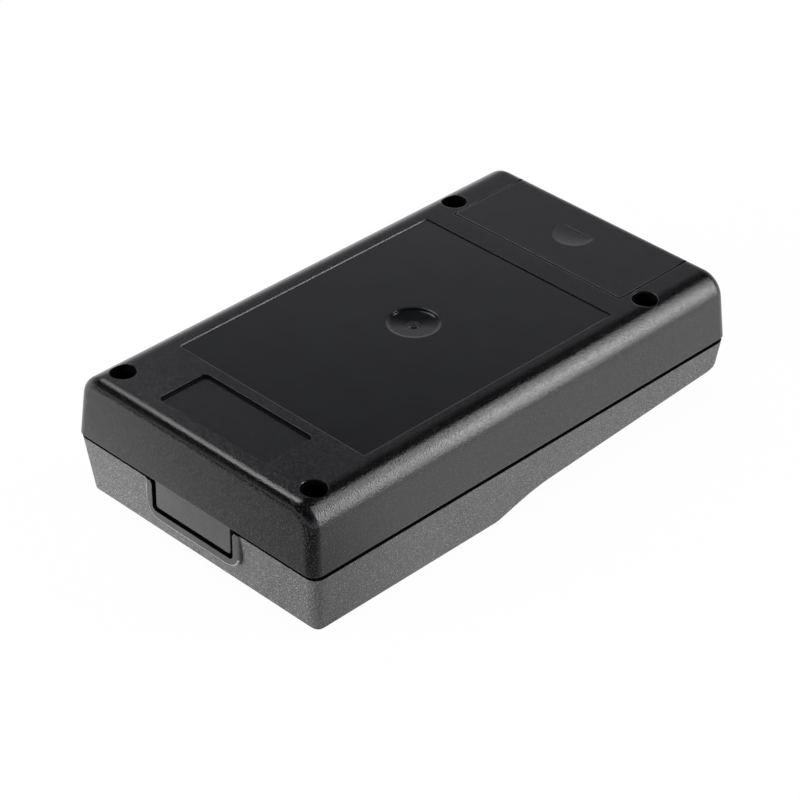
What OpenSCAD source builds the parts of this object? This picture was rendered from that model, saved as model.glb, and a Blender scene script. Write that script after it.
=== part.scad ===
// Handheld instrument case, lying face down with its back up.
// Width runs along X, length along Y from the thick end to the battery end, and Z points up.
// The origin is on the resting plane, under the middle of the case.

/* [Case] */
// Length at the parting line
case_l = 145.5; // [142:0.5:165]
// Width at the parting line
case_w = 83; // [81:0.5:100]
// Thickness at the thick end
case_h = 34.75; // [34:0.25:42]
// Depth of the back shell, from its face to the parting line
back_h = 17.3; // [16.5:0.1:18.5]
// Wall of both shells
wall = 2.4; // [2.1:0.1:2.8]
// Radius of the edges round both ends
end_round = 2.5; // [1.5:0.1:4]
// Radius of the upright corners
corner_round = 3; // [2:0.1:4]

/* [Back shell] */
// Lean of the long walls, in degrees
back_side_draft = 5.8; // [2:0.1:8]
// Lean of the end walls, in degrees
back_end_draft = 3; // [1:0.1:6]
// Radius of the long upper edges
side_round = 6.6; // [4:0.1:8]
// Spacing of the screw holes across the case
screw_span = 65.8; // [64.5:0.1:67]
// Distance of the first pair of screw holes from the thick end
screw_edge = 8.5; // [8:0.1:11]
// Distance of the second pair of screw holes from the battery end
screw_far = 23.6; // [22.5:0.1:26]
// Bore that the screw heads go down
screw_bore_d = 6.6; // [6.2:0.1:7]

/* [Back face] */
// Width of the label recess
label_w = 63.6; // [40:0.1:66]
// Length of the label recess
label_l = 85.2; // [50:0.1:88]
// Distance of the label recess from the thick end
label_edge = 25.5; // [24:0.1:27]
// Depth of the label recess
label_depth = 0.35; // [0.2:0.05:0.6]
// Width of the small pocket
pocket_w = 37.2; // [20:0.1:50]
// Length of the small pocket
pocket_l = 15.2; // [8:0.1:16]
// Distance of the small pocket from the thick end
pocket_edge = 7; // [6:0.1:8]
// Depth of the small pocket
pocket_depth = 0.8; // [0.4:0.05:1]
// Distance of the moulding gate from the thick end
gate_edge = 73.75; // [60:0.25:90]
// Diameter of the gate's dimple
gate_d = 12.8; // [8:0.1:16]
// Depth of the dimple's wall
gate_step = 0.45; // [0.2:0.05:0.6]
// Depth of the dish inside that wall
gate_depth = 0.4; // [0.2:0.05:0.5]

/* [Front shell] */
// Lean of the long walls, in degrees
front_side_draft = 6; // [3:0.1:9]
// Lean of the end walls, in degrees
front_end_draft = 6.9; // [3:0.1:8]
// Radius of the front's long edges
front_edge_round = 0.9; // [0.8:0.1:2.5]
// Radius of the front's edge at the thick end
thick_end_round = 1.6; // [0.8:0.1:3]
// Radius of the front's edge at the thin end
thin_end_round = 4.5; // [3:0.1:6]
// Length of the flat thick part of the front
thick_l = 63; // [50:0.5:75]
// Length of the ramp to the thin part
step_l = 12.8; // [9:0.1:20]
// Room between the battery well and the front's inside, which sets the rise of that ramp
thin_room = 2.45; // [1.9:0.05:4]
// Slope of the thin part, in degrees
thin_slope = 3.6; // [0:0.1:4]
// Height of the dark groove between the shells
groove = 1.1; // [0.5:0.05:1.4]
// How far the front's rim stands inside the back's rim at the ends
rim_step = 0.45; // [0:0.05:0.5]
// How far it stands inside along the sides
rim_side = 0; // [0:0.05:0.5]

/* [End tongue and its frame] */
// Half width of the tongue
tongue_half = 13; // [8:0.1:18]
// Reach of the tongue below the parting line
tongue_drop = 8.1; // [5:0.1:9]
// Gap between the tongue and its frame
tongue_gap = 1.1; // [0.6:0.1:1.5]
// Width of the frame beside the tongue
frame_side = 2.5; // [2:0.1:5]
// Width of the frame under the tongue
frame_sill = 2.6; // [1.2:0.1:3]
// Radius of the frame's lower corners
frame_round = 5; // [3:0.1:6]

/* [Battery door] */
// Width of the door's opening
door_w = 57.3; // [56.8:0.1:58]
// Length of the door's opening, from the battery end
door_l = 28.1; // [26.5:0.1:29]
// Thickness of the door
door_t = 2.2; // [1.9:0.1:2.4]
// Reach of the door's skirt down the end
skirt_h = 9; // [6:0.1:11]
// Gap along the door's seams
seam = 0.35; // [0.15:0.05:0.4]
// Radius of the door's inner edge
door_edge = 0.25; // [0.1:0.05:0.5]
// Depth of the thumb scoop
scoop_depth = 0.75; // [0.5:0.05:1.2]
// Radius of the thumb scoop's rim
scoop_round = 5.5; // [4:0.1:7]
// Distance of the scoop's middle from the door's inner edge
scoop_reach = 14.55; // [12:0.05:18]
// Distance of the scoop's steep wall from its middle
scoop_wall = 2; // [0:0.1:3]

/* [Battery] */
// Length of the block battery, across the case
battery_l = 48.5; // [46:0.1:49]
// Width of the block battery, along the case
battery_w = 26.5; // [25:0.1:27]
// Thickness of the block battery
battery_t = 17.5; // [16:0.1:18]
// Spacing of the two snap contacts
contact_pitch = 12.7; // [11.5:0.1:13.5]
// How much thinner the front's end wall is behind the battery
end_relief = 0.7; // [0:0.1:0.9]

/* [Screws and posts] */
// Core diameter of the screws
screw_d = 2.5; // [2.2:0.1:3]
// Length of the screws under the head
screw_l = 10; // [7:0.5:11]
// Diameter of the screw heads
head_d = 5.6; // [5:0.1:6]
// Outer diameter of the screw tubes
tube_d = 10; // [9:0.1:10.4]
// Outer diameter of the screw bosses
boss_d = 7.4; // [6.4:0.1:7.6]
// Outer diameter of the circuit board posts
post_d = 5.6; // [5:0.1:6]
// Height of the board's seat above the front's face under the thin end's posts
board_rise = 6.1; // [5.6:0.1:7.5]

/* [Hidden] */
$fn = 48;

case_black = [0.10, 0.10, 0.105];
case_grey = [0.16, 0.16, 0.165];
door_black = [0.13, 0.13, 0.135];
screw_steel = [0.55, 0.56, 0.58];
contact_nickel = [0.78, 0.77, 0.72];

// Facets of the rounded edges
side_steps = 10;
end_steps = 7;
edge_steps = 5;
soft_steps = 3;
least_round = 0.6;

// Radius of the small edges round the recesses, the holes and the door's opening
soft_edge = 0.12;

// Clearances
slip = 0.3;
seat = 0.1;
hair = 0.02;
over = 1;

// Heights
part_z = case_h - back_h;
rim_z = part_z - groove;
ceiling_z = case_h - wall;
door_z = case_h - door_t;
ledge_z = min(ceiling_z, door_z - slip / 2);

// Lip of the front shell and the rebate that takes it
lip_gap = 0.2;
lip_in = wall / 2 + slip;
lip_out = max(rim_step, rim_side) + wall + hair;
lip_h = 2;
lip_round = 0.5 * corner_round;
rebate_in = lip_in - lip_gap;
rebate_h = lip_h + slip;

// Screws
head_h = 2.2;
shelf_t = 3;
shank_hole_d = screw_d + 3 * slip;
pilot_d = screw_d + seat;
boss_floor = 1.5;
rib_t = 1.6;
rib_drop = 1.5;
cross_l = 3.2;
cross_w = 0.9;
cross_depth = 1.4;

// Battery well
well_wall = 1.8;
rail_wall = 3;
floor_t = 1.6;
contact_room = 5.5;
well_half = (battery_l + contact_room) / 2;
well_floor_z = door_z - battery_t - 2 * slip;
well_y1 = front_end_y(well_floor_z - floor_t, wall - end_relief) - slip;
well_y0 = well_y1 - battery_w - 2 * slip;
battery_y = (well_y0 + well_y1) / 2;
battery_z = well_floor_z + slip + battery_t / 2;

// Rails under the door, hooked below the well's ledges
ledge_t = 1.3;
rail_t = 1;
rail_foot = 1.2;
rail_h = 0.9;
rail_lead = 1.5;
rail_tail = 5;
hook_top_z = ledge_z - ledge_t - slip;

// Contacts
blade_t = 0.5;
blade_w = 10;
blade_h = 12;
tail_w = 4;
tail_drop = 1.2;
stud_h = 2.6;
stud_d = 5.7;
socket_d = 8.4;
socket_bore_d = 6.2;
petal_slot = 0.7;
stud_foot = 0.4;
stud_flange = 0.8;
stud_waist = 0.3;
stud_nose = 0.5;

// Small places on the back face
pocket_round = 1.5;
label_round = 0.4;
gate_ledge = 0.2;
vestige_d = 3;
vestige_h = 0.2;
vestige_pit_d = 1.1;
vestige_pit = 0.35;
tongue_flare = 0.8;
tongue_corner = 0.8;
door_cut = 0.6;
door_cut_run = 7;

// Places along the case
door_y = case_l / 2 - door_l;
screw_x = screw_span / 2;
screw_ys = [along(screw_edge), case_l / 2 - screw_far];
post_from_screw = [14, -22];
post_ys = screw_ys + post_from_screw;

// Bends of the front's outline, half their length
bend_out = 1;
bend_in = 6;

// The front's thin part, as deep as the battery well needs
thin_run = well_y1 - along(thick_l + step_l);
step_h = well_floor_z - floor_t - thin_room - wall - thin_run * tan(thin_slope);
board_z = front_z(post_ys[1]) + board_rise;

// Frame round the tongue
frame_z = part_z - tongue_drop - tongue_gap - frame_sill;
frame_y = -case_l / 2 + max(rim_step - slip, 0);
frame_edge = 0.8;
tongue_y = -case_l / 2 + max(rim_step, slip);

// Place along Y of a distance from the thick end
function along(d) = d - case_l / 2;

// Points on an arc
function bow(cx, cz, r, a0, a1, n) =
    [for (i = [0 : n]) let (a = a0 + (a1 - a0) * i / n) [cx + r * cos(a), cz + r * sin(a)]];

// Mirror image of a row of points, in reverse order
function flip_x(pts) = [for (i = [len(pts) - 1 : -1 : 0]) [-pts[i][0], pts[i][1]]];

// A cross section stood up at y, leaning inward away from the height z_ref
function stand(loop, y, end, z_ref, lean) =
    [for (p = loop) [p[0], y - end * (p[1] - z_ref) * tan(lean), p[1]]];

// Inset of an edge of radius r, at the depth d in from the end
function roll(d, r) = d >= r ? 0 : r - sqrt(r * r - (r - d) * (r - d));

// Depths at which an end of radius r is cut into sections, from its outside inward
function depths(r) = [for (k = [end_steps : -1 : 0]) r * (1 - sin(90 * k / end_steps))];

// The same row, last first
function turned(row) = [for (i = [len(row) - 1 : -1 : 0]) row[i]];

// Half width of the back shell's form at a height, e inside its outer face
function back_x(z, e) =
    case_w / 2 - (z - part_z) * tan(back_side_draft) - e / cos(back_side_draft);

// Cross section of the back shell's form, e inside its long walls and top inside its face, down to z0
function back_loop(e, top, z0) =
    let (r = max(side_round - e, least_round))
    let (zc = case_h - top - r)
    let (xc = back_x(zc, e) - r / cos(back_side_draft))
    let (half = concat([[back_x(z0, e), z0]], bow(xc, zc, r, back_side_draft, 90, side_steps)))
    concat(half, flip_x(half));

// Cross sections of one end of the back shell's form
function back_end(e, z0, end) =
    let (r = max(end_round - e, least_round))
    let (rc = max(corner_round - e, least_round))
    let (y_end = case_l / 2 - e / cos(back_end_draft))
    [for (d = depths(max(r, rc)))
        let (loop = back_loop(e + roll(d, rc), e + roll(d, r), z0))
        stand(loop, end * (y_end - d), end, part_z, back_end_draft)];

// Cross sections of the back shell's form, from the thick end to the battery end
function back_form(e, z0) = concat(back_end(e, z0, -1), turned(back_end(e, z0, 1)));

// A change of slope at u0, eased over t on both sides
function bend(u, u0, t, slope) =
    u <= u0 - t ? 0 : u >= u0 + t ? slope * (u - u0) : slope * pow(u - u0 + t, 2) / (4 * t);

// Height of the front's outer face along the case
function front_z(y) =
    let (u = y + case_l / 2)
    let (ramp = step_h / step_l)
    bend(u, thick_l, bend_out, ramp) + bend(u, thick_l + step_l, bend_in, tan(thin_slope) - ramp);

// Half width of the front shell's form at a height, e inside its outer face
function front_x(z, e) =
    case_w / 2 - rim_side - (rim_z - z) * tan(front_side_draft) - e / cos(front_side_draft);

// End of the front shell's form at a height, e inside its outer face
function front_end_y(z, e) =
    case_l / 2 - rim_step - (rim_z - z) * tan(front_end_draft) - e / cos(front_end_draft);

// Cross section of the front shell's form, from its low face up to z_top
function front_loop(e, z_low, z_top) =
    let (r = max(front_edge_round - e, least_round))
    let (zc = z_low + r)
    let (xc = front_x(zc, e) - r / cos(front_side_draft))
    let (arc = bow(xc, zc, r, -90, -front_side_draft, edge_steps))
    let (half = concat(arc, [[front_x(z_top, e), z_top]]))
    concat(flip_x(half), half);

// Cross sections of one end of the front shell's form
function front_end(e, z_top, end, edge) =
    let (r = max(corner_round - e, least_round))
    let (rb = max(edge - e, least_round))
    let (y_end = case_l / 2 - rim_step - e / cos(front_end_draft))
    [for (d = depths(max(r, rb)))
        let (y = end * (y_end - d))
        let (low = front_z(y) + e + roll(d, rb))
        stand(front_loop(e + roll(d, r), low, z_top), y, end, rim_z, -front_end_draft)];

// Cross sections of the front shell's form, from the thick end to the thin end
function front_form(e, z_top) =
    let (bend_ys = concat(
        [for (k = [-1 : 0.5 : 1]) along(thick_l + k * bend_out)],
        [for (k = [-1 : 1 / 3 : 1.01]) along(thick_l + step_l + k * bend_in)]))
    concat(
        front_end(e, z_top, -1, thick_end_round),
        [for (y = bend_ys) stand(front_loop(e, front_z(y) + e, z_top), y, 0, rim_z, 0)],
        turned(front_end(e, z_top, 1, thin_end_round))
    );

// Corners of a rectangle with round corners
function round_rect(w, l, r) =
    let (x = w / 2 - r)
    let (y = l / 2 - r)
    concat(
        bow(x, y, r, 0, 90, edge_steps),
        bow(-x, y, r, 90, 180, edge_steps),
        bow(-x, -y, r, 180, 270, edge_steps),
        bow(x, -y, r, 270, 360, edge_steps)
    );

// Widening and drop of a small rounded edge, from its foot up to the face
function soft_rim() =
    [for (k = [soft_steps : -1 : 0]) let (a = 90 * k / soft_steps)
        [soft_edge * (1 - cos(a)), soft_edge * (1 - sin(a))]];

// Outline in plan, stood at a height
function level(outline, z) = [for (p = outline) [p[0], p[1], z]];

// Outline of the tongue, or of its window with a gap, seen from the end
function tongue_outline(gap) =
    let (half = tongue_half + gap)
    let (low = part_z - tongue_drop - gap)
    let (flare = tongue_flare + gap / 2)
    let (r = tongue_corner + gap / 2)
    let (right = concat(
        bow(half - r, low + r, r, -90, 0, edge_steps),
        [[half, part_z - flare - gap / 2], [half + flare, part_z], [half + flare, part_z + rebate_h]]))
    concat(flip_x(right), right);

// Outline of the frame round the tongue, e inside its outer edge, seen from the end
function frame_outline(e) =
    let (half = tongue_half + tongue_gap + frame_side - e)
    let (r = frame_round - e)
    let (right = concat(bow(half - r, frame_z + e + r, r, -90, 0, edge_steps), [[half, rim_z]]))
    concat(flip_x(right), right);

// Solid through a row of like cross sections
module skin(loops) {
    n = len(loops[0]);
    m = len(loops);
    sides = [for (i = [0 : m - 2]) for (j = [0 : n - 1])
        let (a = i * n + j, b = i * n + (j + 1) % n)
        each [[a, b, b + n], [a, b + n, a + n]]];
    first = [for (j = [n - 1 : -1 : 0]) j];
    last = [for (j = [0 : n - 1]) (m - 1) * n + j];
    polyhedron(points = [for (l = loops) each l], faces = concat([first], sides, [last]));
}

// Upright prism on an outline in plan
module plate(outline, z, h) {
    translate([0, 0, z])
        linear_extrude(h)
            polygon(outline);
}

// Prism on an outline seen from the end, from y0 to y1
module end_plate(outline, y0, y1) {
    translate([0, y1, 0])
        rotate([90, 0, 0])
            linear_extrude(y1 - y0)
                polygon(outline);
}

// Block between two corners
module block(low, high) {
    translate(low)
        cube(high - low);
}

// Recess of a round-cornered outline in the back face, with a softly rounded rim
module recess(w, l, r, depth) {
    top = [soft_edge, -over];
    foot = [0, depth];
    skin([for (s = concat([top], soft_rim(), [foot]))
        level(round_rect(w + 2 * s[0], l + 2 * s[0], r + s[0]), case_h - s[1])]);
}

// Block up through the back face, whose edges there widen softly on three sides
module soft_block(low, high) {
    top = [soft_edge, case_h - high[2]];
    foot = [0, case_h - low[2]];
    skin([for (s = concat([top], soft_rim(), [foot]))
        level([[high[0] + s[0], low[1] - s[0]], [high[0] + s[0], high[1]],
            [low[0] - s[0], high[1]], [low[0] - s[0], low[1] - s[0]]], case_h - s[1])]);
}

// Whatever goes at each of the four screws
module at_screws() {
    for (x = [-screw_x, screw_x])
        for (y = screw_ys)
            translate([x, y, 0])
                children();
}

// Plate of the door before its outer form is cut, with a rounded inner edge
module door_plate(x, y0, y1) {
    top = case_h + over;
    edge = bow(y0 + door_edge, case_h - door_edge, door_edge, 180, 90, soft_steps + 1);
    rotate([90, 0, 90])
        translate([0, 0, -x])
            linear_extrude(2 * x)
                polygon(concat([[y1, top], [y1, door_z], [y0, door_z]], edge, [[y0 + door_edge, top]]));
}

// Room that the battery door takes out of the back shell, less a gap all round for the door itself
module door_room(gap) {
    x = door_w / 2 - gap;
    y_far = case_l / 2 + over;
    y_skirt = case_l / 2 - back_h * tan(back_end_draft) - door_t;
    if (gap > 0)
        door_plate(x, door_y + gap, y_far);
    else
        soft_block([-x, door_y, ledge_z], [x, y_far, case_h + over]);
    block([-x, y_skirt - (gap > 0 ? 0 : over), case_h - skirt_h + gap], [x, y_far, case_h + over]);
}

// Dimple of the moulding gate: a round wall, a shallow dish and what is left of the gate
module gate_dimple() {
    rim = gate_d / 2 - gate_ledge;
    r = (rim * rim + gate_depth * gate_depth) / (2 * gate_depth);
    difference() {
        union() {
            cylinder(d = gate_d, h = gate_step + label_depth + over);
            intersection() {
                translate([0, 0, r - gate_depth])
                    sphere(r);
                translate([0, 0, -over])
                    cylinder(d = gate_d - gate_ledge, h = over + gate_ledge);
            }
        }
        difference() {
            translate([0, 0, -gate_depth - over])
                cylinder(d = vestige_d, h = over + vestige_h);
            translate([0, 0, vestige_h - gate_depth - vestige_pit])
                cylinder(d = vestige_pit_d, h = over);
        }
    }
}

// Label recess, pocket and gate dimple, cut from the back face
module face_recesses() {
    label_y = along(label_edge + label_l / 2);
    pocket_y = along(pocket_edge + pocket_l / 2);
    translate([0, label_y, 0])
        recess(label_w, label_l, label_round, label_depth);
    translate([0, pocket_y, 0])
        recess(pocket_w, pocket_l, pocket_round, pocket_depth);
    translate([0, along(gate_edge), case_h - label_depth - gate_step])
        gate_dimple();
}

// Walls of the battery well, under the back's face
module well_walls() {
    low = well_floor_z - floor_t;
    out = well_half + well_wall;
    rail_out = well_half + rail_wall;
    difference() {
        union() {
            block([-out, well_y0 - well_wall, low], [out, well_y1, ledge_z]);
            block([-rail_out, well_y0 - well_wall, part_z + over],
                [rail_out, well_y1, ceiling_z + over / 2]);
        }
        block([-well_half, well_y0, well_floor_z], [well_half, well_y1 + over, case_h]);
    }
}

// Grooves that the door's hooks run in, and the slots for the contacts' tails
module well_cuts() {
    reach = well_half + rail_foot + slip / 2;
    block([-reach, well_y0, hook_top_z - rail_h - slip], [reach, case_l / 2, hook_top_z + slip]);
    for (side = [-1, 1])
        translate([-well_half - seat, battery_y + side * contact_pitch / 2, 0])
            block([0, -tail_w / 2 - seat, well_floor_z - floor_t - over],
                [blade_t + 3 * seat, tail_w / 2 + seat, well_floor_z + seat]);
}

// Tube for a screw, with the shelf that its head sits on
module screw_tube() {
    translate([0, 0, part_z + seat])
        cylinder(d = tube_d, h = ceiling_z - part_z + over / 2);
}

module screw_tube_bore() {
    translate([0, 0, part_z + shelf_t])
        cylinder(d = screw_bore_d, h = back_h + over);
    translate([0, 0, part_z - over])
        cylinder(d = shank_hole_d, h = shelf_t + 2 * over);
    translate([0, 0, case_h - soft_edge])
        cylinder(d1 = screw_bore_d, d2 = screw_bore_d + 4 * soft_edge, h = 2 * soft_edge);
}

module back_shell() {
    lip_w = case_w - 2 * rebate_in;
    lip_l = case_l - 2 * rebate_in;
    color(case_black)
    difference() {
        union() {
            difference() {
                skin(back_form(0, part_z));
                skin(back_form(wall, part_z - over));
                plate(round_rect(lip_w, lip_l, lip_round), part_z - over, rebate_h + over);
            }
            intersection() {
                union() {
                    at_screws() screw_tube();
                    well_walls();
                }
                skin(back_form(wall / 2, well_floor_z - floor_t - over));
            }
            end_plate(tongue_outline(0), tongue_y, tongue_y + wall);
        }
        door_room(0);
        well_cuts();
        face_recesses();
        at_screws() screw_tube_bore();
    }
}

// Boss that a screw bites into
module screw_boss(y) {
    z0 = front_z(y) + boss_floor;
    translate([0, 0, z0 - over / 2])
        cylinder(d = boss_d, h = part_z - z0 + over / 2);
}

module screw_boss_bore(y) {
    z0 = max(part_z + shelf_t - screw_l - over, front_z(y) + boss_floor);
    translate([0, 0, z0])
        cylinder(d = pilot_d, h = part_z - z0 + over);
}

// Rib that ties a boss to the nearest long wall
module boss_rib(side, y) {
    x0 = side > 0 ? screw_x : -case_w / 2;
    x1 = side > 0 ? case_w / 2 : -screw_x;
    block([x0, y - rib_t / 2, 0], [x1, y + rib_t / 2, rim_z - rib_drop]);
}

// Post that a circuit board sits on
module board_post(y) {
    z0 = front_z(y) + boss_floor;
    difference() {
        translate([0, 0, z0 - over / 2])
            cylinder(d = post_d, h = board_z - z0 + over / 2);
        translate([0, 0, z0 + over / 2])
            cylinder(d = pilot_d, h = board_z - z0);
    }
}

// Room behind the battery well, in the front's end wall and lip
module well_relief() {
    x = well_half + rail_wall + slip;
    block([-x, well_y1 - over, well_floor_z - floor_t - slip],
        [x, well_y1 + slip, part_z + lip_h + over]);
}

// Raised frame round the tongue's window, with a rounded outer edge
module tongue_frame() {
    depth = rim_step + wall + (rim_z - frame_z) * tan(front_end_draft);
    steps = concat(depths(frame_edge), [depth]);
    skin([for (d = steps) [for (p = frame_outline(roll(d, frame_edge))) [p[0], frame_y + d, p[1]]]]);
}

// Lip that stands inside the back shell's rim
module rim_lip() {
    difference() {
        plate(round_rect(case_w - 2 * lip_in, case_l - 2 * lip_in, lip_round),
            rim_z - over / 2, groove + lip_h + over / 2);
        plate(round_rect(case_w - 2 * lip_out, case_l - 2 * lip_out, least_round),
            rim_z - over, groove + lip_h + 2 * over);
    }
}

module front_shell() {
    window_depth = rim_step + 2 * wall + lip_out;
    color(case_grey)
    difference() {
        union() {
            difference() {
                union() {
                    skin(front_form(0, rim_z));
                    tongue_frame();
                }
                skin(front_form(wall, rim_z + over));
            }
            rim_lip();
            for (side = [-1, 1]) {
                for (y = screw_ys)
                    translate([side * screw_x, y, 0])
                        screw_boss(y);
                for (y = post_ys)
                    translate([side * screw_x, y, 0])
                        board_post(y);
            }
            intersection() {
                for (side = [-1, 1])
                    for (y = screw_ys)
                        boss_rib(side, y);
                skin(front_form(wall / 2, rim_z));
            }
        }
        end_plate(tongue_outline(tongue_gap), -case_l / 2 - over, -case_l / 2 + window_depth);
        well_relief();
        for (side = [-1, 1])
            for (y = screw_ys)
                translate([side * screw_x, y, 0])
                    screw_boss_bore(y);
    }
}

// Thumb scoop: a round dish that ends at a steep wall
module thumb_scoop() {
    y = door_y + scoop_reach;
    r = (scoop_round * scoop_round + scoop_depth * scoop_depth) / (2 * scoop_depth);
    difference() {
        translate([0, y, case_h - scoop_depth + r])
            sphere(r);
        block([-2 * r, y + scoop_wall, 0], [2 * r, y + 2 * r, 2 * case_h]);
    }
}

// Rail that hooks under one of the well's ledges and under the cross strip, on the +X side
module door_rail() {
    x0 = well_half - slip - rail_t;
    y0 = door_y - rail_lead;
    y1 = well_y1 - rail_tail;
    low = hook_top_z - rail_h;
    block([x0, y0, low], [x0 + rail_t, y1, ledge_z - slip]);
    block([x0, door_y + seam, low], [x0 + rail_t, y1, door_z + door_t / 4]);
    block([x0, y0, low], [x0 + rail_t + rail_foot, y1, hook_top_z]);
}

// Wedge off the door's side toward the end, where its seam opens, on the +X side
module door_corner_cut() {
    translate([door_w / 2 - seam, case_l / 2 - door_cut_run, 0])
        rotate([0, 0, atan(door_cut / door_cut_run)])
            block([0, 0, part_z], [2 * door_cut, door_cut_run + over, case_h + over]);
}

module battery_door() {
    color(door_black)
    union() {
        difference() {
            intersection() {
                skin(back_form(0, part_z));
                door_room(seam);
            }
            thumb_scoop();
            door_corner_cut();
            mirror([1, 0, 0]) door_corner_cut();
        }
        door_rail();
        mirror([1, 0, 0]) door_rail();
    }
}

module case_screws() {
    seat_z = part_z + shelf_t + seat;
    color(screw_steel)
    at_screws()
        difference() {
            union() {
                translate([0, 0, seat_z - screw_l])
                    cylinder(d = screw_d, h = screw_l + head_h / 2);
                translate([0, 0, seat_z])
                    cylinder(d = head_d, h = head_h);
            }
            for (turn = [0, 90])
                rotate([0, 0, turn])
                    translate([-cross_l / 2, -cross_w / 2, seat_z + head_h - cross_depth])
                        cube([cross_l, cross_w, cross_depth + over]);
        }
}

// Spring blade against the well's wall, with its tail through the floor
module contact_blade(y) {
    x0 = -well_half + seat;
    x1 = x0 + blade_t;
    z0 = well_floor_z + seat * 2;
    tail_z = well_floor_z - floor_t - tail_drop;
    block([x0, y - blade_w / 2, z0], [x1, y + blade_w / 2, z0 + blade_h]);
    block([x0, y - tail_w / 2, tail_z], [x1, y + tail_w / 2, z0 + over]);
}

// Turned piece that stands out of a blade
module on_blade(y) {
    translate([-well_half + seat + blade_t, y, battery_z])
        rotate([0, 90, 0])
            children();
}

module contact_stud() {
    y = battery_y + contact_pitch / 2;
    r = stud_d / 2;
    color(contact_nickel)
    union() {
        contact_blade(y);
        on_blade(y)
            rotate_extrude()
                polygon([[0, -blade_t / 2], [r + stud_flange, -blade_t / 2], [r + stud_flange, stud_foot],
                    [r - stud_waist, stud_foot], [r, stud_h - stud_flange], [r - stud_nose, stud_h],
                    [0, stud_h]]);
    }
}

module contact_socket() {
    y = battery_y - contact_pitch / 2;
    color(contact_nickel)
    union() {
        contact_blade(y);
        on_blade(y)
            difference() {
                translate([0, 0, -blade_t / 2])
                    cylinder(d = socket_d, h = stud_h + blade_t / 2);
                translate([0, 0, stud_foot])
                    cylinder(d = socket_bore_d, h = stud_h);
                for (turn = [0 : 60 : 120])
                    rotate([0, 0, turn])
                        translate([-socket_d, -petal_slot / 2, 2 * stud_foot])
                            cube([2 * socket_d, petal_slot, stud_h]);
            }
    }
}

back_shell();
front_shell();
battery_door();
case_screws();
contact_stud();
contact_socket();
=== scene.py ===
"""Looks of a handheld instrument case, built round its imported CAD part."""

import math

import bpy
from mathutils import Matrix, Vector

MM = 0.001
UNIT = (0.0, 1.0)

# Camera, fitted to the photograph's outline and corners: angles in degrees, lens in millimetres
CAMERA_AZIMUTH = 44.5617
CAMERA_ELEVATION = 34.5660
CAMERA_ROLL = 0.6311
CAMERA_DISTANCE = 702.51 * MM
CAMERA_TARGET = Vector((21.71, -25.53, 34.75)) * MM
CAMERA_SENSOR = 36.0
CAMERA_LENS = 134.379
CAMERA_CLIP = (0.05, 50)

# Places on the back shell, in the part's frame
FACE_Z = 34.75 * MM
RECESS_TOP = FACE_Z - 0.3 * MM
RECESS_LOW = FACE_Z - 1.5 * MM
RECESS_HALF = 32.5 * MM
RECESS_Y = (-66.2 * MM, 38.5 * MM)
RECESS_Z = (RECESS_LOW, RECESS_TOP)
LABEL_FAR_Y = (37.65 * MM, 38.25 * MM)
POCKET_HALF = 18.7 * MM
POCKET_Y = (-65.9 * MM, -50.4 * MM)
SHADE_Z = (RECESS_LOW, FACE_Z - 0.02 * MM)
GATE_MIDDLE = Vector((0.0, 1.0)) * MM
GATE_RADIUS = 6.42 * MM
GATE_WALL = (GATE_RADIUS - 0.1 * MM, GATE_RADIUS)
GATE_Z = (RECESS_LOW, FACE_Z - 0.36 * MM)
PART_Z = 17.45 * MM
BORES = [Vector((x, y)) * MM for x in (-32.9, 32.9) for y in (-64.25, 49.15)]
BORE_RADIUS = 3.45 * MM
BORE_Z = (PART_Z, RECESS_TOP)
TONGUE_HALF = 15 * MM
TONGUE_Y = -69.8 * MM
OPENING_X = (28.60 * MM, 28.70 * MM)
WELL_HALF = 28.5 * MM
WELL_Y = (41.5 * MM, 71.2 * MM)
WELL_Z = (10.0 * MM, 33.0 * MM)

# Places on the front shell
RIM_Z = 16.35 * MM
GROOVE_LOW = RIM_Z - 0.01 * MM
END_Y = -72.30 * MM
END_LEAN = math.tan(math.radians(6.9))
FRAME_HALF = 16.7 * MM
FRAME_LOW = 5.6 * MM
FRAME_RIM_TOP = RIM_Z - 1.5 * MM
FRAME_STANDS_OUT = 0.06 * MM
WINDOW_HALF = 15.6 * MM
WINDOW_LOW = 8.2 * MM
WINDOW_Y = -65.0 * MM

# Places on the battery door
DOOR_Y = 44.65 * MM
DOOR_INNER_Y = DOOR_Y + 0.4 * MM
DOOR_SIDE_X = (27.50 * MM, 28.35 * MM)
DOOR_LOW = 30.0 * MM
SCOOP_MIDDLE = Vector((0.0, 59.2)) * MM
SCOOP_RADIUS = 5.6 * MM
SCOOP_Z = (RECESS_LOW, FACE_Z - 0.01 * MM)

# How far a face's normal has to point along an axis, for the tests of faces
FACES_UP = 0.5
FACES_SIDE = 0.7
FACES_SQUARELY = 0.9
FACES_ACROSS = 0.3
FACES_AWAY = -0.15

# Shading of the CAD meshes
MERGE_WITHIN = 0.002 * MM
SMOOTH_BELOW = math.radians(26)
FINISH_SPREAD = 0.01
NORMAL_WEIGHT = 60

# Rounding of the edges: how much of it there is along Y, and round the gate by the share of a reach
EDGE_SAMPLES = 6
EDGE_RADII = (0.08 * MM, 0.45 * MM)
EDGE_STOPS = [
    (-75 * MM, 1.0), (-70 * MM, 1.0), (-68 * MM, 0.0), (-49 * MM, 0.0), (-48 * MM, 1.0),
    (36 * MM, 1.0), (37 * MM, 0.0), (40 * MM, 0.0), (42 * MM, 1.0), (75 * MM, 1.0),
]
GATE_RADII = (0.0, 1.1 * MM)
GATE_REACH = (0.0, 9.2 * MM)
GATE_STOPS = [(0.50, 0.0), (0.58, 1.0), (0.89, 1.0), (1.0, 0.0)]

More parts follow.
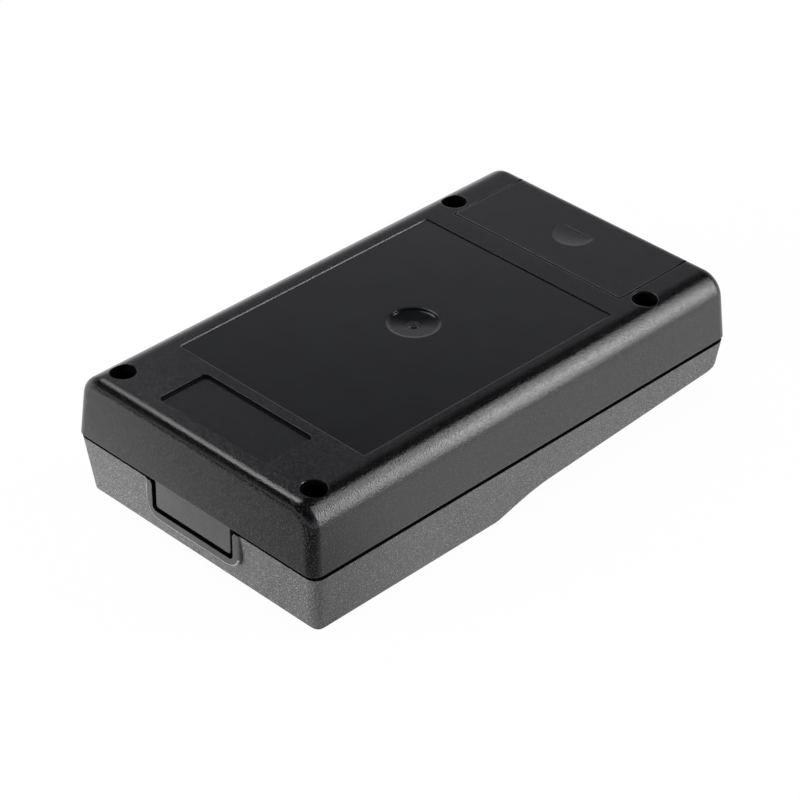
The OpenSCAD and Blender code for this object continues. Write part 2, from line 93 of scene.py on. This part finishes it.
# Patterns: sizes of the marks, and the spans of a noise or of a normal's height that they turn in
MOTTLE_SIZE = 14 * MM
WAVE_SIZE = 9 * MM
RIPPLE_SIZE = 1.4 * MM
SPECK_SIZE = 0.6 * MM
NOISE_SPAN = (0.3, 0.7)
TINT_SPAN = (0.35, 0.65)
FLAT_GRAIN_SPAN = (0.56, 0.68)
UPRIGHT_GRAIN_SPAN = (0.52, 0.66)
COLOUR_TURN = (0.15, 0.5)
RELIEF_TURN = (0.70, 0.97)

# Finishes: the darkest and the lightest base colour of each
BLACK = ((0.0008, 0.0008, 0.0009), (0.0240, 0.0240, 0.0248))
# Upright faces of the black: grain, whose lighter specks are painted glints.
UPRIGHT_BLACK_AND_PAINTED_GLINTS = ((0.0028, 0.0028, 0.0028), (0.0335, 0.0331, 0.0335))
GLOSS = ((0.0040, 0.0043, 0.0052), (0.0055, 0.0060, 0.0072))
# Painted light: the front shell's black plastic is given a grey base for the light it shows; the
# spread between the two tones is its grain.
PAINTED_LIT_GREY = ((0.074, 0.072, 0.073), (0.280, 0.274, 0.276))
SATIN = ((0.046, 0.0455, 0.046), (0.058, 0.0575, 0.058))
INNER = ((0.0085, 0.0085, 0.0088), (0.0120, 0.0120, 0.0124))
# Painted highlight on the frame's lower outer edge.
PAINTED_HIGHLIGHT_TONES = ((0.300, 0.296, 0.298), (0.360, 0.355, 0.358))
# Painted light in the door's thumb scoop, paler than the door, and painted shade on the frame's
# side, darker than the front's grey.
SCOOP_PAINTED_LIGHT_AND_SHADE = ((0.024, 0.024, 0.0245), (0.046, 0.046, 0.0475))
# Painted shade for bores, grooves, gaps and the walls of recesses.
PAINTED_SHADE_TONES = ((0.0015, 0.0015, 0.0016), (0.0030, 0.0030, 0.0032))
STEEL = ((0.32, 0.33, 0.34), (0.42, 0.43, 0.44))
NICKEL = ((0.62, 0.60, 0.55), (0.72, 0.70, 0.65))

# Finishes: other values that several share
PLASTIC_IOR = 1.70
GRAIN_WAVER = 0.03
METAL_WAVER = 0.06
PAINTED_SHADE_ROUGHNESS = 0.85
PAINTED_SHADE_SPECULAR = 0.1

# Stage: the floor's colour by its place, and the sky's brightness by the height of its direction
FLOOR_HALF = 4.0
FLOOR_SEEN = 0.97
FLOOR_DARKER_TOWARD = Vector((0.45, -0.89, 0.0))
FLOOR_DARKENING_STOPS = [(50 * MM, 0.95), (77 * MM, 0.47), (97 * MM, 0.36), (118 * MM, 0.10)]
SKY_STOPS = [
    (0.0, 0.90), (0.12, 0.85), (0.22, 0.42), (0.31, 0.33), (0.42, 0.38), (0.49, 0.40), (0.51, 0.32),
    (0.53, 0.24), (0.55, 0.205), (0.575, 0.135), (0.62, 0.045), (0.70, 0.03), (1.0, 0.03),
]
SKY_TINT = (1.0, 1.0, 1.09)
SKY_FRONT = 1.4
LIT_POINT = Vector((0.0, 0.0, 17.0)) * MM
SIDE_BOX_ALONG = (0.582, 0, -0.813)


def place_camera():
    """Stands the camera where the photograph was taken from."""
    azimuth = math.radians(CAMERA_AZIMUTH)
    elevation = math.radians(CAMERA_ELEVATION)
    roll = math.radians(CAMERA_ROLL)
    back = Vector((
        math.sin(azimuth) * math.cos(elevation),
        -math.cos(azimuth) * math.cos(elevation),
        math.sin(elevation),
    ))
    right = (-back).cross(Vector((0, 0, 1))).normalized()
    up = right.cross(-back)
    turned_right = right * math.cos(roll) + up * math.sin(roll)
    turned_up = up * math.cos(roll) - right * math.sin(roll)
    axes = Matrix((turned_right, turned_up, back)).transposed().to_4x4()
    data = bpy.data.cameras.new("photo_camera")
    data.sensor_width = CAMERA_SENSOR
    data.lens = CAMERA_LENS
    data.clip_start, data.clip_end = CAMERA_CLIP
    camera = bpy.data.objects.new("photo_camera", data)
    camera.matrix_world = Matrix.Translation(CAMERA_TARGET + back * CAMERA_DISTANCE) @ axes
    bpy.context.scene.collection.objects.link(camera)
    bpy.context.scene.camera = camera


def add_light(name, direction, along, distance, size, power, mirrored=True):
    """Soft box in a direction from the case, long along another, that gloss may mirror."""
    data = bpy.data.lights.new(name, "AREA")
    data.shape = "RECTANGLE"
    data.size, data.size_y = size
    data.energy = power
    back = Vector(direction).normalized()
    across = Vector(along).cross(back).normalized()
    axes = Matrix((across, back.cross(across), back)).transposed().to_4x4()
    light = bpy.data.objects.new(name, data)
    light.matrix_world = Matrix.Translation(LIT_POINT + back * distance) @ axes
    light.visible_camera = False
    light.visible_glossy = mirrored
    bpy.context.scene.collection.objects.link(light)


def add_node(tree, kind, settings=None, values=None):
    """New node with its settings and its unlinked inputs set."""
    made = tree.nodes.new(kind)
    for key, value in (settings or {}).items():
        setattr(made, key, value)
    for key, value in (values or {}).items():
        made.inputs[key].default_value = value
    return made


def new_material(name):
    """Material with an empty tree but for its shader and the object's own coordinates."""
    material = bpy.data.materials.new(name)
    material.use_nodes = True
    tree = material.node_tree
    shader = tree.nodes["Principled BSDF"]
    coords = add_node(tree, "ShaderNodeTexCoord").outputs["Object"]
    return material, tree, shader, coords


def add_math(tree, operation, first, second):
    """Sum, product or the like of two values or numbers."""
    made = add_node(tree, "ShaderNodeMath", {"operation": operation})
    for socket, value in zip(made.inputs, (first, second)):
        if isinstance(value, float):
            socket.default_value = value
        else:
            tree.links.new(value, socket)
    return made.outputs["Value"]


def add_noise(tree, coords, size, detail=2.0):
    """Noise whose marks are about that size, from 0 to 1."""
    made = add_node(tree, "ShaderNodeTexNoise", values={"Scale": 1 / size, "Detail": detail})
    tree.links.new(coords, made.inputs["Vector"])
    return made.outputs["Fac"]


def add_range(tree, value, span, result):
    """Value carried over from one span to another and kept within it."""
    made = add_node(tree, "ShaderNodeMapRange", values={
        "From Min": span[0],
        "From Max": span[1],
        "To Min": result[0],
        "To Max": result[1],
    })
    tree.links.new(value, made.inputs["Value"])
    return made.outputs["Result"]


def add_tint(tree, value, tones, span=TINT_SPAN):
    """Colour that goes from a dark tone to a light one as a value goes through a span."""
    made = add_node(tree, "ShaderNodeValToRGB")
    for element, place, tone in zip(made.color_ramp.elements, span, tones):
        element.position = place
        element.color = (*tone, 1)
    tree.links.new(value, made.inputs["Fac"])
    return made.outputs["Color"]


def add_stops(tree, value, stops, tint=(1, 1, 1)):
    """Tint that follows a value through stops, each a place from 0 to 1 and a level."""
    made = add_node(tree, "ShaderNodeValToRGB")
    elements = made.color_ramp.elements
    for (place, level), element in zip((stops[0], stops[-1]), elements):
        element.position = place
        element.color = (*(level * part for part in tint), 1)
    for place, level in stops[1:-1]:
        elements.new(place).color = (*(level * part for part in tint), 1)
    tree.links.new(value, made.inputs["Fac"])
    return made.outputs["Color"]


def add_long_stops(tree, value, stops):
    """Level that follows a length through stops, each a place in metres and a level."""
    near, far = stops[0][0], stops[-1][0]
    share = add_range(tree, value, (near, far), UNIT)
    shares = [((place - near) / (far - near), level) for place, level in stops]
    return add_stops(tree, share, shares)


def add_bump(tree, height, distance, normal):
    """Fine relief of a surface on top of a normal."""
    made = add_node(tree, "ShaderNodeBump", values={"Strength": 1.0, "Distance": distance})
    tree.links.new(height, made.inputs["Height"])
    tree.links.new(normal, made.inputs["Normal"])
    return made


def add_edges(tree, coords):
    """Normal that rounds the edges of a moulding a little, but for the ones that are sharp."""
    made = add_node(tree, "ShaderNodeBevel", {"samples": EDGE_SAMPLES})
    split = add_node(tree, "ShaderNodeSeparateXYZ")
    tree.links.new(coords, split.inputs["Vector"])
    along = add_long_stops(tree, split.outputs["Y"], EDGE_STOPS)
    radius = add_range(tree, along, UNIT, EDGE_RADII)
    middle = Vector((*GATE_MIDDLE, FACE_Z))
    away = add_node(tree, "ShaderNodeVectorMath", {"operation": "DISTANCE"}, {1: middle})
    tree.links.new(coords, away.inputs[0])
    share = add_range(tree, away.outputs["Value"], GATE_REACH, UNIT)
    at_gate = add_range(tree, add_stops(tree, share, GATE_STOPS), UNIT, GATE_RADII)
    tree.links.new(add_math(tree, "MAXIMUM", radius, at_gate), made.inputs["Radius"])
    return made.outputs["Normal"]


def add_upright(tree, span, result):
    """Value that goes from one on upright faces to another on flat ones, by the normal's height."""
    place = add_node(tree, "ShaderNodeNewGeometry")
    split = add_node(tree, "ShaderNodeSeparateXYZ")
    tree.links.new(place.outputs["True Normal"], split.inputs["Vector"])
    return add_range(tree, split.outputs["Z"], span, result)


def grained_plastic(name, flat, upright, roughness, grain, relief, flat_share=1.0):
    """Moulded plastic with a spark-eroded grain. Its flat and its upright faces have tones of their
    own, and its flat ones a share of the relief; where the upright tones are lighter, their specks
    are painted glints of the grain."""
    material, tree, shader, coords = new_material(name)
    shader.inputs["IOR"].default_value = PLASTIC_IOR
    fine = add_noise(tree, coords, grain, detail=1.0)
    broad = add_noise(tree, coords, MOTTLE_SIZE)
    # Upright faces take their own tones; on the black, their lighter specks are painted glints of
    # the grain.
    colour = add_node(tree, "ShaderNodeMixRGB")
    tree.links.new(add_upright(tree, COLOUR_TURN, (1.0, 0.0)), colour.inputs["Fac"])
    tree.links.new(add_tint(tree, fine, flat, FLAT_GRAIN_SPAN), colour.inputs["Color1"])
    tree.links.new(add_tint(tree, fine, upright, UPRIGHT_GRAIN_SPAN), colour.inputs["Color2"])
    tree.links.new(colour.outputs["Color"], shader.inputs["Base Color"])
    rough = add_range(tree, broad, NOISE_SPAN, (roughness - GRAIN_WAVER, roughness + GRAIN_WAVER))
    tree.links.new(rough, shader.inputs["Roughness"])
    bump = add_bump(tree, fine, relief, add_edges(tree, coords))
    tree.links.new(add_upright(tree, RELIEF_TURN, (1.0, flat_share)), bump.inputs["Strength"])
    tree.links.new(bump.outputs["Normal"], shader.inputs["Normal"])
    return material


def smooth_plastic(name, tones, roughness, waver, ripple):
    """Polished moulding with a faint unevenness of its roughness and its surface."""
    material, tree, shader, coords = new_material(name)
    shader.inputs["IOR"].default_value = PLASTIC_IOR
    broad = add_noise(tree, coords, WAVE_SIZE, detail=3.0)
    fine = add_noise(tree, coords, RIPPLE_SIZE)
    tree.links.new(add_tint(tree, broad, tones), shader.inputs["Base Color"])
    rough = add_range(tree, fine, NOISE_SPAN, (roughness - waver, roughness + waver))
    tree.links.new(rough, shader.inputs["Roughness"])
    bump = add_bump(tree, broad, ripple, add_edges(tree, coords))
    tree.links.new(bump.outputs["Normal"], shader.inputs["Normal"])
    return material


def painted_shade_black(name, tones):
    """Painted shade: matt near-black that stands in for the shade in bores, grooves, gaps and the
    walls of recesses, that no light comes out of.
    """
    material, tree, shader, coords = new_material(name)
    fine = add_noise(tree, coords, SPECK_SIZE)
    tree.links.new(add_tint(tree, fine, tones), shader.inputs["Base Color"])
    shader.inputs["Roughness"].default_value = PAINTED_SHADE_ROUGHNESS
    shader.inputs["Specular IOR Level"].default_value = PAINTED_SHADE_SPECULAR
    return material


def plated_metal(name, tones, roughness):
    """Metal with a slight mottle."""
    material, tree, shader, coords = new_material(name)
    fine = add_noise(tree, coords, SPECK_SIZE, detail=3.0)
    tree.links.new(add_tint(tree, fine, tones), shader.inputs["Base Color"])
    rough = add_range(tree, fine, NOISE_SPAN, (roughness - METAL_WAVER, roughness + METAL_WAVER))
    tree.links.new(rough, shader.inputs["Roughness"])
    shader.inputs["Metallic"].default_value = 1.0
    return material


def add_limit(group, value, limit):
    """Whether a value is below a limit."""
    made = add_node(group, "FunctionNodeCompare", {"data_type": "FLOAT", "operation": "LESS_THAN"})
    made.inputs["B"].default_value = limit
    group.links.new(value, made.inputs["A"])
    return made.outputs["Result"]


def face_value(group, value):
    """Value taken on faces, which an edge sees as the mean of its two."""
    made = add_node(group, "GeometryNodeFieldOnDomain", {"data_type": "FLOAT", "domain": "FACE"})
    group.links.new(value, made.inputs["Value"])
    return made.outputs["Value"]


def smoothing_group():
    """Modifier group that joins the mesh's seams and shades it smooth, but for sharp edges and
    edges between two finishes."""
    group = bpy.data.node_groups.new("smooth_below_angle", "GeometryNodeTree")
    group.interface.new_socket("Geometry", in_out="INPUT", socket_type="NodeSocketGeometry")
    group.interface.new_socket("Geometry", in_out="OUTPUT", socket_type="NodeSocketGeometry")
    start = add_node(group, "NodeGroupInput")
    merge = add_node(group, "GeometryNodeMergeByDistance", values={"Distance": MERGE_WITHIN})
    faces = add_node(group, "GeometryNodeSetShadeSmooth", {"domain": "FACE"})
    faces.inputs["Shade Smooth"].default_value = True
    angle = add_node(group, "GeometryNodeInputMeshEdgeAngle")
    finish = add_node(group, "GeometryNodeInputMaterialIndex").outputs["Material Index"]
    mean = face_value(group, finish)
    mean_square = face_value(group, add_math(group, "MULTIPLY", finish, finish))
    spread = add_math(group, "SUBTRACT", mean_square, add_math(group, "MULTIPLY", mean, mean))
    both = add_node(group, "FunctionNodeBooleanMath", {"operation": "AND"})
    edges = add_node(group, "GeometryNodeSetShadeSmooth", {"domain": "EDGE"})
    stop = add_node(group, "NodeGroupOutput")
    group.links.new(start.outputs[0], merge.inputs["Geometry"])
    group.links.new(merge.outputs["Geometry"], faces.inputs["Geometry"])
    group.links.new(faces.outputs["Geometry"], edges.inputs["Geometry"])
    group.links.new(add_limit(group, angle.outputs["Unsigned Angle"], SMOOTH_BELOW), both.inputs[0])
    group.links.new(add_limit(group, spread, FINISH_SPREAD), both.inputs[1])
    group.links.new(both.outputs["Boolean"], edges.inputs["Shade Smooth"])
    group.links.new(edges.outputs["Geometry"], stop.inputs[0])
    return group


def shade_smooth(piece, group):
    """Shades a CAD node's fillets smooth and keeps its flats flat."""
    kept = piece.data.attributes.get("custom_normal")
    if kept is not None:
        piece.data.attributes.remove(kept)
    piece.modifiers.new("smooth", "NODES").node_group = group
    weighted = piece.modifiers.new("normals", "WEIGHTED_NORMAL")
    weighted.keep_sharp = True
    weighted.weight = NORMAL_WEIGHT


def within(value, span):
    """Whether a value lies between the two ends of a span."""
    return span[0] < value < span[1]


def in_recess(centre, normal):
    """Whether a face is the floor of the label recess or of the pocket."""
    inside = abs(centre.x) < RECESS_HALF and within(centre.y, RECESS_Y)
    return inside and within(centre.z, RECESS_Z) and normal.z > FACES_UP


def in_pocket(centre, normal):
    """Whether a face is the floor of the pocket."""
    inside = abs(centre.x) < POCKET_HALF and within(centre.y, POCKET_Y)
    return inside and in_recess(centre, normal)


def in_gate(centre, _normal):
    """Whether a face belongs to the moulding gate's dimple."""
    return (centre.xy - GATE_MIDDLE).length < GATE_RADIUS and within(centre.z, GATE_Z)


def in_bore(centre, _normal):
    """Whether a face is inside one of the screw holes."""
    near = min((centre.xy - bore).length for bore in BORES) < BORE_RADIUS
    return near and within(centre.z, BORE_Z)


def in_opening(centre, normal):
    """Whether a face of the back shell is a wall of the door's opening."""
    beside = within(abs(centre.x), OPENING_X) and abs(normal.x) > FACES_SQUARELY
    return beside and centre.y > DOOR_Y and centre.z > DOOR_LOW


def in_shade(centre, normal):
    """Whether a face is a wall of the pocket or the gate, or the far wall of the label recess,
    where shade is painted.
    """
    pocket_wall = abs(centre.x) < POCKET_HALF and within(centre.y, POCKET_Y)
    label_wall = within(centre.y, LABEL_FAR_Y) and normal.y < -FACES_SQUARELY
    gate_wall = within((centre.xy - GATE_MIDDLE).length, GATE_WALL)
    upright = abs(normal.z) < FACES_UP and within(centre.z, SHADE_Z)
    return upright and (pocket_wall or label_wall or gate_wall)


def on_tongue(centre, _normal):
    """Whether a face of the back shell belongs to the end tongue."""
    return centre.z < PART_Z and centre.y < TONGUE_Y and abs(centre.x) < TONGUE_HALF


def in_well(centre, _normal):
    """Whether a face of the back shell lies in the battery well, under the door."""
    inside = abs(centre.x) < WELL_HALF and within(centre.y, WELL_Y)
    return inside and within(centre.z, WELL_Z)


def on_frame(centre, _normal):
    """Whether a face of the front shell belongs to the frame round the tongue."""
    wall_y = END_Y + (RIM_Z - centre.z) * END_LEAN
    beside = abs(centre.x) < FRAME_HALF and centre.z > FRAME_LOW
    return beside and centre.y < wall_y - FRAME_STANDS_OUT


def on_frame_rim_highlight(centre, normal):
    """Whether a face is on the frame's lower outer edge, which gets a painted highlight for the
    light of the floor that it would catch.
    """
    outward = min(normal.x, normal.z) < FACES_AWAY
    return on_frame(centre, normal) and outward and centre.z < FRAME_RIM_TOP


def on_frame_side_shade(centre, normal):
    """Whether a face is on the side of the frame that lies in its own shade; that shade is painted.
    """
    return on_frame(centre, normal) and normal.x > FACES_SIDE


def in_window(centre, normal):
    """Whether a face of the front shell is a side of the tongue's window."""
    beside = abs(centre.x) < WINDOW_HALF and centre.z > WINDOW_LOW
    return beside and centre.y < WINDOW_Y and abs(normal.y) < FACES_ACROSS


def in_groove(centre, _normal):
    """Whether a face of the front shell lies in the groove between the shells, or above it."""
    return centre.z > GROOVE_LOW


def in_scoop(centre, _normal):
    """Whether a face of the door belongs to its thumb scoop."""
    return (centre.xy - SCOOP_MIDDLE).length < SCOOP_RADIUS and within(centre.z, SCOOP_Z)


def on_door_side(centre, normal):
    """Whether a face of the door stands against a wall of its opening."""
    beside = within(abs(centre.x), DOOR_SIDE_X) and abs(normal.x) > FACES_SQUARELY
    inner = centre.y < DOOR_INNER_Y and normal.y < -FACES_SQUARELY
    return (beside or inner) and centre.z > DOOR_LOW


def dress(piece, finishes, painted=()):
    """Gives a CAD node its finishes: the first all over, and others on the faces that pass a test,
    where a later test goes over an earlier one."""
    piece.data.materials.clear()
    for finish in finishes:
        piece.data.materials.append(finish)
    for face in piece.data.polygons:
        face.material_index = 0
        for test, finish in painted:
            if test(face.center, face.normal):
                face.material_index = finishes.index(finish)


def add_floor_darkening(tree):
    """Colour of the floor by its place: pale under the case, and painted darker toward the
    photographer.
    """
    place = add_node(tree, "ShaderNodeNewGeometry")
    toward = add_node(tree, "ShaderNodeVectorMath", {"operation": "DOT_PRODUCT"}, {1: FLOOR_DARKER_TOWARD})
    tree.links.new(place.outputs["Position"], toward.inputs[0])
    return add_long_stops(tree, toward.outputs["Value"], FLOOR_DARKENING_STOPS)


def make_floor():
    """Pale floor that shows white, with a trace of the case's shadow."""
    half = FLOOR_HALF
    mesh = bpy.data.meshes.new("floor")
    corners = [(-half, -half, 0), (half, -half, 0), (half, half, 0), (-half, half, 0)]
    mesh.from_pydata(corners, [], [(0, 1, 2, 3)])
    floor = bpy.data.objects.new("floor", mesh)
    bpy.context.scene.collection.objects.link(floor)
    material = bpy.data.materials.new("floor_white")
    material.use_nodes = True
    tree = material.node_tree
    tree.nodes.remove(tree.nodes["Principled BSDF"])
    path = add_node(tree, "ShaderNodeLightPath").outputs
    colour = add_node(tree, "ShaderNodeMixRGB", values={"Color2": (1, 1, 1, 1)})
    matt = add_node(tree, "ShaderNodeBsdfDiffuse")
    glow = add_node(tree, "ShaderNodeEmission", values={"Strength": 1.0})
    shown = add_node(tree, "ShaderNodeMixShader", values={"Fac": FLOOR_SEEN})
    mix = add_node(tree, "ShaderNodeMixShader")
    mirrored = add_math(tree, "MAXIMUM", path["Is Glossy Ray"], path["Is Transmission Ray"])
    tree.links.new(path["Is Camera Ray"], colour.inputs["Fac"])
    tree.links.new(add_floor_darkening(tree), colour.inputs["Color1"])
    tree.links.new(colour.outputs["Color"], matt.inputs["Color"])
    tree.links.new(colour.outputs["Color"], glow.inputs["Color"])
    tree.links.new(matt.outputs["BSDF"], shown.inputs[1])
    tree.links.new(glow.outputs["Emission"], shown.inputs[2])
    tree.links.new(add_math(tree, "MAXIMUM", path["Is Camera Ray"], mirrored), mix.inputs["Fac"])
    tree.links.new(matt.outputs["BSDF"], mix.inputs[1])
    tree.links.new(shown.outputs["Shader"], mix.inputs[2])
    tree.links.new(mix.outputs["Shader"], tree.nodes["Material Output"].inputs["Surface"])
    mesh.materials.append(material)


def make_world():
    """Studio that is pale near the floor and dark overhead."""
    world = bpy.data.worlds.new("studio")
    world.use_nodes = True
    bpy.context.scene.world = world
    tree = world.node_tree
    sky = tree.nodes["Background"]
    coords = add_node(tree, "ShaderNodeTexCoord")
    split = add_node(tree, "ShaderNodeSeparateXYZ")
    tree.links.new(coords.outputs["Generated"], split.inputs["Vector"])
    toward = add_math(tree, "MULTIPLY", split.outputs["Y"], -SKY_FRONT)
    front = add_math(tree, "MAXIMUM", toward, 0.0)
    height = add_math(tree, "MULTIPLY", split.outputs["Z"], add_math(tree, "ADD", front, 1.0))
    tree.links.new(add_stops(tree, height, SKY_STOPS, SKY_TINT), sky.inputs["Color"])


def make_lights():
    """Soft boxes: beside the long edge, over the far side, before the thick end and overhead."""
    add_light(
        "side_box", direction=(0.659, 0.640, 0.471), along=SIDE_BOX_ALONG,
        distance=1.0, size=(0.30, 1.15), power=4.2,
    )
    add_light(
        "side_core", direction=(0.690, 0.640, 0.424), along=SIDE_BOX_ALONG,
        distance=1.0, size=(0.26, 0.34), power=1.0,
    )
    add_light(
        "far_box", direction=(-0.578, 0.10, 0.812), along=(0, 1, 0),
        distance=1.0, size=(0.30, 0.54), power=1.6,
    )
    add_light(
        "front_fill", direction=(-0.30, -0.94, 0.12), along=(0, 0, 1),
        distance=1.0, size=(1.40, 0.70), power=22.0, mirrored=False,
    )
    add_light(
        "top_fill", direction=(0.05, -0.02, 1.0), along=(0, 1, 0),
        distance=1.2, size=(0.60, 0.60), power=4.4, mirrored=False,
    )


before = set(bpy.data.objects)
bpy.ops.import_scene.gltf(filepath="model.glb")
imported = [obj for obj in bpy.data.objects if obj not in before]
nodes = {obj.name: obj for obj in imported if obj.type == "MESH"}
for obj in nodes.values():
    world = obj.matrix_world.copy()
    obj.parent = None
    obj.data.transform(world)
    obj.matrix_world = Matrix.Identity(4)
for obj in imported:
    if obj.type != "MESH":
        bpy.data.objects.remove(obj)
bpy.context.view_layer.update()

black = grained_plastic(
    "case_black", flat=BLACK, upright=UPRIGHT_BLACK_AND_PAINTED_GLINTS,
    roughness=0.18, grain=0.34 * MM, relief=0.075 * MM, flat_share=0.66,
)
# The front shell's grey is painted light on black plastic, with its grain.
painted_lit_grey = grained_plastic(
    "front_black_painted_lit_grey", flat=PAINTED_LIT_GREY, upright=PAINTED_LIT_GREY,
    roughness=0.46, grain=0.27 * MM, relief=0.22 * MM,
)
door = grained_plastic(
    "door_black", flat=BLACK, upright=UPRIGHT_BLACK_AND_PAINTED_GLINTS,
    roughness=0.24, grain=0.34 * MM, relief=0.075 * MM, flat_share=0.85,
)
# Painted light in the thumb scoop, and painted shade on the frame's side.
scoop = grained_plastic(
    "scoop_painted_light_and_shade", flat=SCOOP_PAINTED_LIGHT_AND_SHADE, upright=SCOOP_PAINTED_LIGHT_AND_SHADE,
    roughness=0.42, grain=0.36 * MM, relief=0.04 * MM,
)
gloss = smooth_plastic("recess_gloss", GLOSS, roughness=0.11, waver=0.02, ripple=0.002 * MM)
gate = smooth_plastic("gate_gloss", GLOSS, roughness=0.08, waver=0.02, ripple=0.002 * MM)
pocket = smooth_plastic("pocket_gloss", GLOSS, roughness=0.20, waver=0.02, ripple=0.002 * MM)
satin = smooth_plastic("tongue_satin", SATIN, roughness=0.26, waver=0.03, ripple=0.003 * MM)
# Painted highlight for the frame's lower outer edge.
pale = smooth_plastic("frame_edge", PAINTED_HIGHLIGHT_TONES, roughness=0.16, waver=0.03, ripple=0.003 * MM)
inner = smooth_plastic("inner_black", INNER, roughness=0.38, waver=0.04, ripple=0.004 * MM)
# Painted shade, for bores, grooves, gaps and the walls of recesses.
painted_shade = painted_shade_black("bore_painted_shade", PAINTED_SHADE_TONES)
steel = plated_metal("screw_steel", STEEL, roughness=0.38)
nickel = plated_metal("contact_nickel", NICKEL, roughness=0.28)

dress(nodes["back_shell"], [black, gloss, gate, painted_shade, satin, pocket, inner], [
    (in_recess, gloss),
    (in_gate, gate),
    # The bores, the walls of the door's opening, and the shaded walls of the recesses get painted
    # shade.
    (in_bore, painted_shade),
    (in_opening, painted_shade),
    (in_shade, painted_shade),
    (on_tongue, satin),
    (in_pocket, pocket),
    (in_well, inner),
])
dress(nodes["front_shell"], [painted_lit_grey, satin, painted_shade, pale, scoop], [
    (on_frame, satin),
    # The frame's lower outer edge gets a painted highlight.
    (on_frame_rim_highlight, pale),
    # The frame's side facing +X gets painted shade.
    (on_frame_side_shade, scoop),
    # The window's sides and the groove between the shells get painted shade.
    (in_window, painted_shade),
    (in_groove, painted_shade),
])
dress(nodes["battery_door"], [door, scoop, painted_shade], [
    # The thumb scoop is painted paler than the door, as painted light.
    (in_scoop, scoop),
    # The door's sides against its opening get painted shade.
    (on_door_side, painted_shade),
])
dress(nodes["case_screws"], [steel])
dress(nodes["contact_stud"], [nickel])
dress(nodes["contact_socket"], [nickel])

smoothing = smoothing_group()
for cad_node in nodes.values():
    shade_smooth(cad_node, smoothing)

make_floor()
make_world()
make_lights()
place_camera()
bpy.context.scene.view_settings.view_transform = "Standard"
